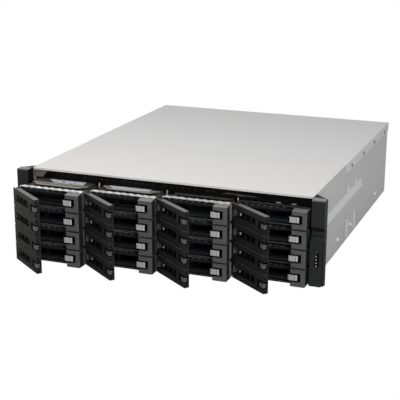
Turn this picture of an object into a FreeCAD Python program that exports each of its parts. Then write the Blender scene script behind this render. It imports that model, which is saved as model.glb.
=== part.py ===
"""Disk shelf enclosure: a three-unit rack chassis with sixteen pull-out drive trays.

Frame: X to the right seen from the front, Y to the back, Z up, in millimetres. The origin lies on the underside, in
the middle of the width, at the front edge of the chassis body. The trays stand pulled out and their levers open, as
the photograph shows them.
"""
import FreeCAD, Part
import math
import os
import Sketcher
from FreeCAD import Rotation, Vector

COLUMNS = 4
ROWS = 4
SUPPLIES = 2

SIZES = {
    # Chassis body, top panels and their screws
    "side_margin": 1.0,
    "head_space": 12.7,
    "body_length": 527.0,
    "sheet_gauge": 1.2,
    "panel_gauge": 1.2,
    "panel_length": 190.0,
    "panel_hem": 1.6,
    "seam_gap": 0.6,
    "lip_drop": 15.0,
    "lip_gauge": 1.0,
    "lip_gap": 0.2,
    "lip_screw_drop": 10.0,
    "lip_screw_front": 42.0,
    "lip_screw_back": 37.0,
    "screw_head_radius": 2.8,
    "screw_head_height": 1.2,
    # Pressed side walls
    "rib_start": 8.0,
    "rib_end": 314.0,
    "rib_top_drop": 49.8,
    "rib_slope": 13.0,
    "rib_flat": 8.0,
    "rib_drop": 2.0,
    "rib_reach": 2.2,
    "bead_width": 2.0,
    "bead_reach": 0.8,
    "bead_length": 30.0,
    "bead_foot": 3.5,
    "bead_front": 218.0,
    "bead_pitch": 53.0,
    "tick_drop": 40.3,
    "tick_length": 8.5,
    "stud_radius": 2.4,
    "stud_reach": 3.2,
    "stud_height": 21.0,
    "stud_front": 151.0,
    "stud_middle": 237.0,
    "stud_rear": 429.0,
    "gusset_gauge": 1.2,
    "gusset_set_back": 1.4,
    "gusset_foot": 14.0,
    "gusset_head": 24.0,
    # Rack ears
    "ear_width": 20.3,
    "hole_inset": 8.75,
    "hole_rise": 57.15,
    "hole_radius": 3.5,
    "hole_length": 11.0,
    "ear_gauge": 2.0,
    "ear_gusset": 17.0,
    "cap_reach": 13.3,
    "cap_inset": 1.4,
    "cap_foot": 3.0,
    "cap_top_drop": 0.8,
    "cap_chamfer": 1.4,
    "cap_wall": 2.4,
    "cap_hollow": 8.0,
    "scoop_height": 81.5,
    "scoop_radius": 14.0,
    "scoop_offset": 11.1,
    "step_height": 70.0,
    "step_width": 2.7,
    "step_depth": 4.0,
    "wing_width": 1.1,
    "pill_radius": 4.0,
    "pill_low": 34.0,
    "pill_high": 55.0,
    "pill_depth": 1.4,
    "pill_inset": 10.3,
    "lamp_side": 1.6,
    "lamp_pitch": 4.8,
    "power_radius": 3.0,
    "power_clearance": 0.2,
    "power_length": 7.0,
    "power_proud": 0.5,
    # Drive cage and backplane
    "column_gap": 5.0,
    "row_gap": 1.5,
    "divider_gauge": 1.2,
    "liner_gauge": 1.0,
    "cage_front": 3.0,
    "cage_back": 170.0,
    "ledge_gauge": 0.8,
    "ledge_reach": 3.8,
    "ledge_set_back": 9.0,
    "ledge_gap": 0.2,
    "cage_headroom": 0.6,
    "cage_roof": 1.2,
    "rail_set_back": 2.0,
    "rail_gauge": 1.2,
    "board_gauge": 2.0,
    "board_side_gap": 1.5,
    "connector_width": 43.0,
    "connector_height": 7.0,
    "connector_reach": 5.0,
    "board_vent_width": 30.0,
    "board_vent_height": 8.0,
    # Trays
    "drive_side_gap": 1.7,
    "drive_top_gap": 0.2,
    "closed_front": 14.0,
    "pull_first": 49.8,
    "pull_second": 35.8,
    "pull_third": 24.8,
    "pull_fourth": 6.4,
    "front_depth": 22.0,
    "face_set_back": 11.0,
    "face_gauge": 4.0,
    "front_wall": 2.0,
    "block_width": 21.5,
    "block_chamfer": 0.9,
    "block_slope": 1.8,
    "pocket_width": 15.2,
    "pocket_low": 6.8,
    "pocket_height": 13.0,
    "pocket_depth": 9.5,
    "window_left": 13.0,
    "window_width": 31.5,
    "window_pitch": 35.5,
    "window_low": 12.0,
    "window_height": 8.6,
    "groove_low": 3.2,
    "groove_height": 4.6,
    "groove_depth": 2.0,
    "brow_low": 22.4,
    "brow_height": 2.0,
    "brow_reach": 1.6,
    "lug_height": 2.2,
    "lug_half": 2.7,
    "lug_tip": 1.3,
    "gasket_front": 13.0,
    "gasket_width": 7.5,
    "gasket_wave": 0.8,
    "gasket_base": 0.25,
    "gasket_inset": 1.0,
    "rail_gauge_tray": 1.2,
    "tray_floor_gap": 0.2,
    "tray_floor": 0.8,
    "tray_rail_height": 12.5,
    "tray_inset": 0.3,
    "tray_opening_inset": 12.0,
    "drive_gap": 0.2,
    "drive_width": 101.6,
    "drive_length": 147.0,
    "drive_height": 25.4,
    "drive_start": 30.0,
    "drive_lid": 3.4,
    "drive_lid_inset": 3.0,
    "drive_corner": 14.0,
    # Levers and release buttons
    "lever_length": 77.6,
    "heel_overhang": 2.4,
    "lever_depth": 7.7,
    "lever_swing": 37.8,
    "pivot_side": 3.6,
    "pivot_depth": 5.5,
    "pin_radius": 1.25,
    "pin_clearance": 0.08,
    "skin_gauge": 1.8,
    "lug_clearance": 0.4,
    "lug_side_clearance": 1.7,
    "heel_chamfer": 3.4,
    "heel_corner": 1.0,
    "rail_low": 8.4,
    "rail_high": 7.8,
    "recess_side": 3.6,
    "recess_depth": 3.6,
    "recess_length": 53.7,
    "slot_first": 5.2,
    "slot_width": 7.8,
    "slot_pitch": 14.5,
    "slot_low_inset": 0.6,
    "slot_high_inset": 3.4,
    "notch_start": 64.5,
    "notch_low": 6.6,
    "notch_height": 11.6,
    "notch_back": 2.0,
    "catch_start": 66.5,
    "catch_length": 11.5,
    "catch_low": 8.0,
    "catch_height": 6.6,
    "catch_set_back": 0.8,
    "button_left": 3.6,
    "button_right": 4.6,
    "button_low": 2.3,
    "button_height": 8.2,
    "button_clearance": 0.3,
    "button_bevel": 1.4,
    "button_groove": 2.8,
    "button_groove_width": 0.8,
    # Fan wall
    "fan_gap": 7.6,
    "fan_depth": 38.0,
    "fan_front": 200.0,
    "fan_bore": 56.0,
    "fan_hub": 22.0,
    "fan_tip_gap": 2.5,
    "fan_blade_gauge": 2.5,
    "fan_strut": 6.0,
    "fan_set_back": 6.0,
    "fan_wall_gauge": 1.5,
    # Power supplies and controller
    "supply_width": 76.0,
    "supply_height": 39.5,
    "supply_length": 195.0,
    "supply_gap": 0.3,
    "supply_proud": 1.5,
    "supply_wall": 1.2,
    "inlet_width": 24.0,
    "inlet_height": 16.0,
    "inlet_depth": 17.0,
    "inlet_inset": 5.0,
    "blade_length": 10.0,
    "blade_gauge": 2.0,
    "blade_height": 4.0,
    "blade_pitch": 7.0,
    "grille_radius": 15.0,
    "grille_depth": 7.0,
    "handle_inset": 33.0,
    "handle_gauge": 4.0,
    "handle_reach": 27.0,
    "handle_bar": 5.0,
    "handle_drop": 5.0,
    "tab_width": 9.0,
    "tab_height": 5.0,
    "tab_reach": 9.0,
    "controller_left": -110.0,
    "controller_width": 190.0,
    "controller_height": 41.0,
    "controller_length": 150.0,
    "controller_wall": 1.2,
    "controller_face": 2.0,
    "controller_flange": 5.0,
    "port_width": 26.0,
    "port_height": 9.0,
    "port_depth": 22.0,
    "port_wall": 1.0,
    "port_pitch": 42.0,
    "port_low": 12.0,
    "circuit_gauge": 1.6,
    # Rear vents
    "vent_left": -116.0,
    "vent_width": 14.0,
    "vent_height": 30.0,
    "vent_pitch": 36.0,
    "vent_low": 60.0,
}
VENTS = 8
SCREWS = 4
LAMPS = 4
PORTS = 4
SLOTS = 4
WINDOWS = 2
WAVES = 6
BLADES = 5
SIDES = 12

doc = FreeCAD.newDocument("disk_shelf_enclosure")
sheet = doc.addObject("Spreadsheet::Sheet", "sizes")
for row, (name, value) in enumerate(SIZES.items(), start=1):
    sheet.set(f"A{row}", name)
    sheet.set(f"B{row}", str(value))
    sheet.setAlias(f"B{row}", name)
doc.recompute()


class Size:
    """A length worked out from the sheet: its value now, and the expression that keeps an object bound to it."""

    def __init__(self, value, text):
        self.value = value
        self.text = text

    def __add__(self, other):
        return Size(self.value + number(other), f"({self.text} + {words(other)})")

    def __radd__(self, other):
        return Size(number(other) + self.value, f"({words(other)} + {self.text})")

    def __sub__(self, other):
        return Size(self.value - number(other), f"({self.text} - {words(other)})")

    def __rsub__(self, other):
        return Size(number(other) - self.value, f"({words(other)} - {self.text})")

    def __mul__(self, other):
        return Size(self.value * number(other), f"({self.text} * {words(other)})")

    __rmul__ = __mul__

    def __truediv__(self, other):
        return Size(self.value / number(other), f"({self.text} / {words(other)})")

    def __neg__(self):
        return Size(-self.value, f"(0 - {self.text})")


def number(size):
    return size.value if isinstance(size, Size) else float(size)


def words(size):
    return size.text if isinstance(size, Size) else f"({float(size)!r})"


class Sheet:
    """The sheet's cells as sizes, by their aliases."""

    def __getattr__(self, name):
        return Size(SIZES[name], f"sizes.{name}")


s = Sheet()


def bind(item, path, size):
    item.setExpression(path, words(size))


def block(label, x, y, z):
    """A box between three pairs of planes."""
    item = doc.addObject("Part::Box", label)
    for side, (low, high) in zip(("Length", "Width", "Height"), (x, y, z)):
        bind(item, side, high - low)
    place(item, x[0], y[0], z[0])
    return item


def place(item, x, y, z):
    for axis, size in zip("xyz", (x, y, z)):
        bind(item, f"Placement.Base.{axis}", size)
    return item


TURNS = {
    "x": Rotation(Vector(0, 1, 0), 90),
    "y": Rotation(Vector(1, 0, 0), -90),
    "z": Rotation(),
}


def rod(label, axis, start, radius, length):
    """A cylinder from its start point along an axis."""
    item = doc.addObject("Part::Cylinder", label)
    bind(item, "Radius", radius)
    bind(item, "Height", length)
    item.Placement = FreeCAD.Placement(Vector(), TURNS[axis])
    return place(item, *start)


def prism(label, turn, start, sides, radius, length):
    """A regular prism from its start point along the turned Z axis."""
    item = doc.addObject("Part::Prism", label)
    item.Polygon = sides
    bind(item, "Circumradius", radius)
    bind(item, "Height", length)
    item.Placement = FreeCAD.Placement(Vector(), turn)
    return place(item, *start)


def cut(label, base, *tools):
    item = doc.addObject("Part::Cut", label)
    item.Base = base
    item.Tool = tools[0] if len(tools) == 1 else fuse(f"{label}_tools", *tools)
    return item


def fuse(label, *parts):
    item = doc.addObject("Part::MultiFuse", label)
    item.Shapes = list(parts)
    return item


def group(label, *parts):
    """Separate solids that belong to one piece or one named node."""
    item = doc.addObject("Part::Compound", label)
    item.Links = list(parts)
    return item


PLANES = {"XY": ("XY_Plane", 1), "XZ": ("XZ_Plane", -1), "YZ": ("YZ_Plane", 1)}


class Piece:
    """A body grown from sketches on its own origin planes, each feature between two planes along the third axis."""

    def __init__(self, label):
        self.body = doc.addObject("PartDesign::Body", label)

    def sketch(self, plane, start, loops):
        role, along = PLANES[plane]
        item = self.body.newObject("Sketcher::SketchObject", f"{self.body.Name}_sketch")
        origin = next(o for o in self.body.Origin.OriginFeatures if o.Role == role)
        item.AttachmentSupport = [(origin, "")]
        item.MapMode = "FlatFace"
        bind(item, "AttachmentOffset.Base.z", start * along)
        for loop in loops:
            loop(item)
        return item

    def add(self, plane, start, end, *loops):
        pad = self.body.newObject("PartDesign::Pad", f"{self.body.Name}_pad")
        pad.Profile = self.sketch(plane, start, loops)
        bind(pad, "Length", end - start)
        pad.Reversed = PLANES[plane][1] < 0
        doc.recompute()
        return self

    def cut(self, plane, start, end, *loops):
        before = self.body.Shape.Volume
        pocket = self.body.newObject("PartDesign::Pocket", f"{self.body.Name}_pocket")
        pocket.Profile = self.sketch(plane, start, loops)
        bind(pocket, "Length", end - start)
        pocket.Reversed = PLANES[plane][1] > 0
        doc.recompute()
        if not self.body.Shape.Volume < before:
            raise RuntimeError(f"{pocket.Name} cuts nothing")
        return self


def fix(item, geometry, point, u, v):
    """Holds one point of a sketch's geometry at u, v from the sketch's origin."""
    for kind, size in (("DistanceX", u), ("DistanceY", v)):
        at = item.addConstraint(Sketcher.Constraint(kind, -1, 1, geometry, point, number(size)))
        bind(item, f"Constraints[{at}]", size)


def outline(*points):
    """A closed loop of straight lines."""

    def draw(item):
        ends = [Vector(number(u), number(v), 0) for u, v in points]
        lines = [item.addGeometry(Part.LineSegment(a, b)) for a, b in zip(ends, ends[1:] + ends[:1])]
        for line, after, (u, v) in zip(lines, lines[1:] + lines[:1], points):
            item.addConstraint(Sketcher.Constraint("Coincident", line, 2, after, 1))
            fix(item, line, 1, u, v)

    return draw


def rectangle(u, v):
    return outline((u[0], v[0]), (u[1], v[0]), (u[1], v[1]), (u[0], v[1]))


def circle(u, v, radius):
    def draw(item):
        centre = Vector(number(u), number(v), 0)
        ring = item.addGeometry(Part.Circle(centre, Vector(0, 0, 1), number(radius)))
        fix(item, ring, 3, u, v)
        at = item.addConstraint(Sketcher.Constraint("Radius", ring, number(radius)))
        bind(item, f"Constraints[{at}]", radius)

    return draw


def polygon(u, v, radius):
    """A regular outline of SIDES corners inside a circle, for round openings that lie out of sight."""
    turns = [2 * math.pi * (index + 0.5) / SIDES for index in range(SIDES)]
    return outline(*[(u + radius * math.cos(turn), v + radius * math.sin(turn)) for turn in turns])


def slot(first, second, radius):
    """A round-ended slot between two centres, the second above the first or to its left."""

    def draw(item):
        low, high = (Vector(number(u), number(v), 0) for u, v in (first, second))
        run = (high - low).normalize()
        side = Vector(run.y, -run.x, 0) * number(radius)
        turn = run.getAngle(Vector(0, 1, 0))
        half = FreeCAD.Units.parseQuantity("180 deg").getValueAs("rad").Value
        arcs = []
        for centre, begin in ((high, turn), (low, turn + half)):
            ring = Part.Circle(centre, Vector(0, 0, 1), number(radius))
            arcs.append(item.addGeometry(Part.ArcOfCircle(ring, begin, begin + half)))
        left = item.addGeometry(Part.LineSegment(high - side, low - side))
        right = item.addGeometry(Part.LineSegment(low + side, high + side))
        for a, a_end, b, b_end in (
            (arcs[0], 2, left, 1), (left, 2, arcs[1], 1), (arcs[1], 2, right, 1), (right, 2, arcs[0], 1),
        ):
            item.addConstraint(Sketcher.Constraint("Tangent", a, a_end, b, b_end))
        fix(item, arcs[0], 3, *second)
        fix(item, arcs[1], 3, *first)
        for arc in arcs:
            at = item.addConstraint(Sketcher.Constraint("Radius", arc, number(radius)))
            bind(item, f"Constraints[{at}]", radius)

    return draw


# Places that several pieces share
FLOOR = s.sheet_gauge
DRIVE_FOOT = s.tray_floor_gap + s.ledge_gap + s.tray_floor
BEZEL_WIDTH = s.drive_width + s.drive_side_gap * 2
BEZEL_HEIGHT = DRIVE_FOOT + s.drive_height + s.drive_top_gap
COLUMN_PITCH = BEZEL_WIDTH + s.column_gap
ROW_PITCH = BEZEL_HEIGHT + s.row_gap
WALL = COLUMN_PITCH * COLUMNS / 2 + s.side_margin
WALL_IN = WALL - s.sheet_gauge
EAR_EDGE = WALL + s.ear_width
LEDGE_TOP = FLOOR + s.ledge_gauge
TRAY_LOW = LEDGE_TOP - s.ledge_gap
STACK_TOP = TRAY_LOW + ROW_PITCH * (ROWS - 1) + BEZEL_HEIGHT + s.gasket_wave
ROOF_UNDER = STACK_TOP + s.cage_headroom
ROOF_TOP = ROOF_UNDER + s.cage_roof
PANEL_UNDER = ROOF_TOP + s.head_space
BODY_TOP = PANEL_UNDER + s.panel_gauge
REAR_IN = s.body_length - s.sheet_gauge
PULLS = (s.pull_first, s.pull_second, s.pull_third, s.pull_fourth)


def column_middle(column):
    return COLUMN_PITCH * (column - (COLUMNS - 1) / 2)


def row_foot(row):
    return TRAY_LOW + ROW_PITCH * row


# Power supply bay: where each supply lies
SUPPLY_LEFT = -WALL_IN + s.supply_gap
SUPPLY_RIGHT = SUPPLY_LEFT + s.supply_width
SUPPLY_FRONT = s.body_length + s.supply_proud - s.supply_length
BAY_WALL = SUPPLY_RIGHT + s.supply_gap
CONTROLLER_RIGHT = s.controller_left + s.controller_width


def supply_foot(index):
    return FLOOR + s.supply_gap + (s.supply_height + s.supply_gap * 2 + s.supply_wall) * index


def chassis_shell():
    """Folded floor, side walls and back, with the pressed rail rib, beads and shoulder studs."""
    shell = Piece("chassis_shell")
    shell.add("XZ", s.sheet_gauge * 0, s.body_length, outline(
        (-WALL, 0), (WALL, 0), (WALL, PANEL_UNDER), (WALL_IN, PANEL_UNDER),
        (WALL_IN, FLOOR), (-WALL_IN, FLOOR), (-WALL_IN, PANEL_UNDER), (-WALL, PANEL_UNDER),
    ))
    shell.add("XZ", REAR_IN, s.body_length, rectangle((-WALL_IN, WALL_IN), (FLOOR, PANEL_UNDER)))
    for side in (-1, 1):
        rib_top = PANEL_UNDER - s.rib_top_drop
        rib_foot = rib_top - s.rib_slope - s.rib_flat
        rib = outline(
            (WALL * side, rib_top), ((WALL + s.rib_reach) * side, rib_top - s.rib_slope),
            ((WALL + s.rib_reach) * side, rib_foot), (WALL * side, rib_foot - s.rib_drop),
        )
        shell.add("XZ", s.rib_start, s.rib_end, rib)
        gusset = outline(
            (WALL_IN * side, ROOF_TOP), ((WALL_IN - s.gusset_foot) * side, ROOF_TOP),
            ((WALL_IN - s.gusset_head) * side, PANEL_UNDER), (WALL_IN * side, PANEL_UNDER),
        )
        shell.add("XZ", s.gusset_set_back, s.gusset_set_back + s.gusset_gauge, gusset)
        bars, studs = [], []
        for index in range(2):
            middle = s.bead_front + s.bead_pitch * index
            width = (middle - s.bead_width / 2, middle + s.bead_width / 2)
            bars.append(rectangle(width, (s.bead_foot, s.bead_foot + s.bead_length)))
            tick = PANEL_UNDER - s.tick_drop
            bars.append(rectangle(width, (tick - s.tick_length, tick)))
        for along in (s.stud_front, s.stud_middle, s.stud_rear):
            studs.append(circle(along, s.stud_height, s.stud_radius))
        for reach, loops in ((s.bead_reach, bars), (s.stud_reach, studs)):
            low, high = (WALL, WALL + reach) if side > 0 else (-WALL - reach, -WALL)
            shell.add("YZ", low, high, *loops)
    shell.add("XZ", SUPPLY_FRONT, REAR_IN, outline(
        (-WALL_IN, supply_foot(1) - s.supply_gap - s.supply_wall),
        (BAY_WALL, supply_foot(1) - s.supply_gap - s.supply_wall),
        (BAY_WALL, FLOOR), (BAY_WALL + s.supply_wall, FLOOR),
        (BAY_WALL + s.supply_wall, supply_foot(2) - s.supply_gap),
        (-WALL_IN, supply_foot(2) - s.supply_gap),
        (-WALL_IN, supply_foot(2) - s.supply_gap - s.supply_wall),
        (BAY_WALL, supply_foot(2) - s.supply_gap - s.supply_wall),
        (BAY_WALL, supply_foot(1) - s.supply_gap),
        (-WALL_IN, supply_foot(1) - s.supply_gap),
    ))
    openings = [
        rectangle((SUPPLY_LEFT - s.supply_gap, BAY_WALL),
                  (supply_foot(index) - s.supply_gap, supply_foot(index) + s.supply_height + s.supply_gap))
        for index in range(SUPPLIES)
    ]
    openings.append(rectangle(
        (s.controller_left, CONTROLLER_RIGHT), (FLOOR + s.controller_wall, FLOOR + s.controller_height)
    ))
    for index in range(VENTS):
        left = s.vent_left + s.vent_pitch * index
        openings.append(rectangle((left, left + s.vent_width), (s.vent_low, s.vent_low + s.vent_height)))
    shell.cut("XZ", REAR_IN - s.sheet_gauge, s.body_length + s.sheet_gauge, *openings)
    return shell.body


def front_top_panel():
    """The flat top panel over the drives, with a short hem along its front edge."""
    panel = Piece("front_top_panel")
    panel.add("YZ", -WALL, WALL, outline(
        (0, PANEL_UNDER - s.panel_hem), (s.panel_gauge, PANEL_UNDER - s.panel_hem), (s.panel_gauge, PANEL_UNDER),
        (s.panel_length, PANEL_UNDER), (s.panel_length, BODY_TOP), (0, BODY_TOP),
    ))
    return panel.body


def rear_cover():
    """The screwed rear cover: its lips lap over the side walls and the back, and hexagon screws hold them."""
    outside = WALL + s.lip_gap + s.lip_gauge
    inside = WALL + s.lip_gap
    lip_foot = BODY_TOP - s.lip_drop
    back = s.body_length + s.lip_gap
    cover = Piece("cover_sheet")
    cover.add("XZ", s.panel_length + s.seam_gap, back + s.lip_gauge, outline(
        (-outside, lip_foot), (-inside, lip_foot), (-inside, PANEL_UNDER), (inside, PANEL_UNDER),
        (inside, lip_foot), (outside, lip_foot), (outside, BODY_TOP), (-outside, BODY_TOP),
    ))
    cover.add("XZ", back, back + s.lip_gauge, rectangle((-inside, inside), (lip_foot, PANEL_UNDER)))
    screws = []
    first = s.panel_length + s.lip_screw_front
    pitch = (s.body_length - s.lip_screw_back - first) / (SCREWS - 1)
    for side in (-1, 1):
        for index in range(SCREWS):
            along = first + pitch * index
            screws.append(prism(f"lip_screw_{side + 1}_{index}", Rotation(Vector(0, 1, 0), 90 * side),
                                (outside * side, along, BODY_TOP - s.lip_screw_drop),
                                6, s.screw_head_radius, s.screw_head_height))
    return group("rear_cover", cover.body, *screws)


def drive_cage():
    """Dividers and liners with a ledge under each tray, a roof and the upright front rail over the top row."""
    cage = Piece("drive_cage")
    ledges_from = s.cage_front + s.ledge_set_back

    def comb(face, toward):
        """The stepped edge of one wall, from the roof down to the floor, with a ledge for each row."""
        points = []
        for row in reversed(range(ROWS)):
            top = LEDGE_TOP + ROW_PITCH * row
            tip = face + s.ledge_reach * toward
            points += [(face, top), (tip, top), (tip, top - s.ledge_gauge), (face, top - s.ledge_gauge)]
        return [(face, ROOF_UNDER)] + points[:-1]

    for index in range(1, COLUMNS):
        middle = COLUMN_PITCH * (index - COLUMNS / 2)
        left, right = middle - s.divider_gauge / 2, middle + s.divider_gauge / 2
        cage.add("XZ", s.cage_front, ledges_from, rectangle((left, right), (FLOOR, ROOF_UNDER)))
        cage.add("XZ", ledges_from, s.cage_back, outline(*comb(right, 1), *reversed(comb(left, -1))))
    for side in (-1, 1):
        inner = (WALL_IN - s.liner_gauge) * side
        edge = [(WALL_IN * side, FLOOR), (WALL_IN * side, ROOF_UNDER)]
        cage.add("XZ", ledges_from, s.cage_back, outline(*comb(inner, -side), *edge))
    cage.add("XZ", s.cage_front, s.cage_back, rectangle((-WALL_IN, WALL_IN), (ROOF_UNDER, ROOF_TOP)))
    rail_front = s.cage_front + s.rail_set_back
    cage.add("XZ", rail_front, rail_front + s.rail_gauge, rectangle((-WALL_IN, WALL_IN), (ROOF_TOP, PANEL_UNDER)))
    return cage.body


def backplane():
    """The circuit board behind the bays, open between its rows of drive connectors."""
    side = WALL_IN - s.board_side_gap
    board = Piece("backplane_board")
    board.add("XZ", s.cage_back, s.cage_back + s.board_gauge, rectangle((-side, side), (FLOOR, ROOF_UNDER)))
    vents, sockets = [], []
    for column in range(COLUMNS):
        middle = column_middle(column)
        for row in range(ROWS):
            foot = row_foot(row)
            plug = (middle - s.connector_width / 2, middle + s.connector_width / 2)
            sockets.append(rectangle(plug, (foot + s.tray_floor, foot + s.tray_floor + s.connector_height)))
            low = foot + BEZEL_HEIGHT - s.board_vent_height * 2
            if column % 2:
                vents.append(rectangle((middle - COLUMN_PITCH - s.board_vent_width / 2, middle + s.board_vent_width / 2),
                                       (low, low + s.board_vent_height)))
    board.cut("XZ", s.cage_back - s.board_gauge, s.cage_back + s.board_gauge * 2, *vents)
    plugs = Piece("backplane_sockets")
    plugs.add("XZ", s.cage_back - s.connector_reach, s.cage_back, sockets[0])
    for loop in sockets[1:]:
        plugs.add("XZ", s.cage_back - s.connector_reach, s.cage_back, loop)
    return group("backplane", board.body, plugs.body)


def ear(side):
    """A slotted rack flange with its corner gusset, under a moulded cap."""
    label = "right_ear" if side > 0 else "left_ear"

    def span(low, high):
        return (low, high) if side > 0 else (-high, -low)

    flange = Piece(f"{label}_flange")
    middle = (EAR_EDGE - s.hole_inset) * side
    throw = s.hole_length / 2 - s.hole_radius
    holes = []
    for step in (-0.5, 0.5):
        height = BODY_TOP / 2 + s.hole_rise * step
        holes.append(slot((middle + throw, height), (middle - throw, height), s.hole_radius))
    flange.add("XZ", s.ear_gauge * 0, s.ear_gauge,
               rectangle(span(WALL, EAR_EDGE), (FLOOR, PANEL_UNDER)), *holes)
    flange.add("XY", PANEL_UNDER - s.ear_gauge, PANEL_UNDER, outline(
        (WALL * side, s.ear_gauge), ((WALL + s.ear_gusset) * side, s.ear_gauge),
        (WALL * side, s.ear_gauge + s.ear_gusset),
    ))

    front = -s.cap_reach
    inner = WALL + s.cap_inset
    top = BODY_TOP - s.cap_top_drop
    cap = Piece(f"{label}_cap")
    cap.add("YZ", *span(inner, EAR_EDGE), outline(
        (0, s.cap_foot), (front, s.cap_foot), (front, top - s.cap_chamfer), (front + s.cap_chamfer, top), (0, top),
    ))
    if side > 0:
        cap.add("XY", s.cap_foot, s.step_height,
                rectangle(span(inner - s.wing_width, inner), (front, front + s.cap_hollow)))
    cap.cut("YZ", *span(inner - s.wing_width * 2, EAR_EDGE + s.wing_width),
            circle(front - s.scoop_offset, s.scoop_height, s.scoop_radius))
    cap.cut("XY", s.cap_foot * 0, s.step_height,
            rectangle(span(EAR_EDGE - s.step_width, EAR_EDGE + s.step_width), (front * 1.5, front + s.step_depth)))
    hollow = (inner + s.cap_wall, EAR_EDGE - s.step_width - s.cap_wall)
    cap.cut("XZ", -s.cap_hollow, s.ear_gauge, rectangle(span(*hollow), (s.cap_foot + s.cap_wall, top - s.cap_wall)))
    if side < 0:
        return group(label, flange.body, cap.body)

    pill = EAR_EDGE - s.pill_inset
    lamps = []
    cap.cut("XZ", front * 1.5, front + s.pill_depth, slot((pill, s.pill_low), (pill, s.pill_high), s.pill_radius))
    cap.cut("XZ", front, -s.cap_hollow + s.cap_wall / 2,
            circle(pill, s.pill_high, s.power_radius + s.power_clearance))
    for index in range(LAMPS):
        low = s.pill_low - s.lamp_side + s.lamp_pitch * index
        lamps.append(block(f"status_lamp_{index + 1}",
                           (pill - s.lamp_side / 2, pill + s.lamp_side / 2),
                           (front + s.pill_depth / 2, front + s.pill_depth), (low, low + s.lamp_side)))
    return group(label, flange.body, cap.body, *lamps)


def power_button():
    start = -s.cap_reach - s.power_proud + s.pill_depth
    return rod("power_button", "y", (EAR_EDGE - s.pill_inset, start, s.pill_high), s.power_radius, s.power_length)


def tray_front():
    """The moulded tray front: fixed latch block on the right, set-back face with vents, and lugs for the lever."""
    face = s.face_set_back
    left_of_block = BEZEL_WIDTH - s.block_width
    front = Piece("tray_front")
    front.add("XY", 0 * BEZEL_HEIGHT, BEZEL_HEIGHT, outline(
        (0, face), (left_of_block, face), (left_of_block, s.block_chamfer), (left_of_block + s.block_chamfer, 0),
        (BEZEL_WIDTH - s.block_chamfer, 0), (BEZEL_WIDTH, s.block_chamfer),
        (BEZEL_WIDTH, s.front_depth), (0, s.front_depth),
    ))
    front.cut("YZ", left_of_block - s.block_chamfer, BEZEL_WIDTH + s.block_chamfer, outline(
        (-s.block_chamfer, BEZEL_HEIGHT - s.block_slope), (s.gasket_front, BEZEL_HEIGHT),
        (s.gasket_front, BEZEL_HEIGHT + s.block_slope), (-s.block_chamfer, BEZEL_HEIGHT + s.block_slope),
    ))
    front.cut("XZ", face + s.face_gauge, s.front_depth, rectangle(
        (s.front_wall, BEZEL_WIDTH - s.front_wall), (s.front_wall, BEZEL_HEIGHT - s.front_wall)))
    front.cut("XZ", -s.block_chamfer, s.pocket_depth, rectangle(
        (left_of_block - s.block_chamfer, left_of_block + s.pocket_width),
        (s.pocket_low, s.pocket_low + s.pocket_height)))
    windows = []
    for index in range(WINDOWS):
        left = s.window_left + s.window_pitch * index
        windows.append(rectangle((left, left + s.window_width), (s.window_low, s.window_low + s.window_height)))
    front.cut("XZ", face - s.face_gauge, face + s.face_gauge, *windows)
    across = (s.window_left, left_of_block - s.front_wall)
    front.cut("XZ", face - s.face_gauge, face + s.groove_depth,
              rectangle(across, (s.groove_low, s.groove_low + s.groove_height)))
    front.add("XY", s.brow_low, s.brow_low + s.brow_height, rectangle(across, (face - s.brow_reach, face)))
    near = s.pivot_depth - s.lug_half
    for low in (0 * s.lug_height, BEZEL_HEIGHT - s.lug_height):
        front.add("XY", low, low + s.lug_height, outline(
            (s.pivot_side - s.lug_half, face), (s.pivot_side - s.lug_half, near + s.lug_tip),
            (s.pivot_side - s.lug_half + s.lug_tip, near), (s.pivot_side + s.lug_half - s.lug_tip, near),
            (s.pivot_side + s.lug_half, near + s.lug_tip), (s.pivot_side + s.lug_half, face),
        ))
    return front.body


def tray_gasket():
    """The sprung, wavy contact strip on top of the tray front, at its back."""
    low, high = s.gasket_inset, BEZEL_WIDTH - s.gasket_inset
    step = (high - low) / (WAVES * 2)
    wave = []
    for index in range(WAVES * 2 + 1):
        crest = s.gasket_wave if index % 2 else s.gasket_base
        wave.append((high - step * index, BEZEL_HEIGHT + crest))
    back = s.gasket_front + s.gasket_width
    top = Piece("gasket_top")
    top.add("XZ", s.gasket_front, back, outline((low, BEZEL_HEIGHT), (high, BEZEL_HEIGHT), *wave))
    return top.body


def tray_carrier():
    """The sheet tray behind the front: floor with a large opening, side rails and a back bar."""
    foot = s.tray_floor_gap + s.ledge_gap
    left, right = s.tray_inset, BEZEL_WIDTH - s.tray_inset
    back = s.drive_start + s.drive_length + s.drive_gap
    carrier = Piece("tray_carrier")
    carrier.add("XZ", s.front_depth, back + s.rail_gauge_tray, outline(
        (left, foot), (right, foot), (right, foot + s.tray_rail_height),
        (right - s.rail_gauge_tray, foot + s.tray_rail_height), (right - s.rail_gauge_tray, foot + s.tray_floor),
        (left + s.rail_gauge_tray, foot + s.tray_floor), (left + s.rail_gauge_tray, foot + s.tray_rail_height),
        (left, foot + s.tray_rail_height),
    ))
    carrier.cut("XY", foot * 0, foot + s.tray_floor, rectangle(
        (s.tray_opening_inset, BEZEL_WIDTH - s.tray_opening_inset),
        (s.drive_start + s.tray_opening_inset, back - s.tray_opening_inset)))
    return carrier.body


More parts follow.
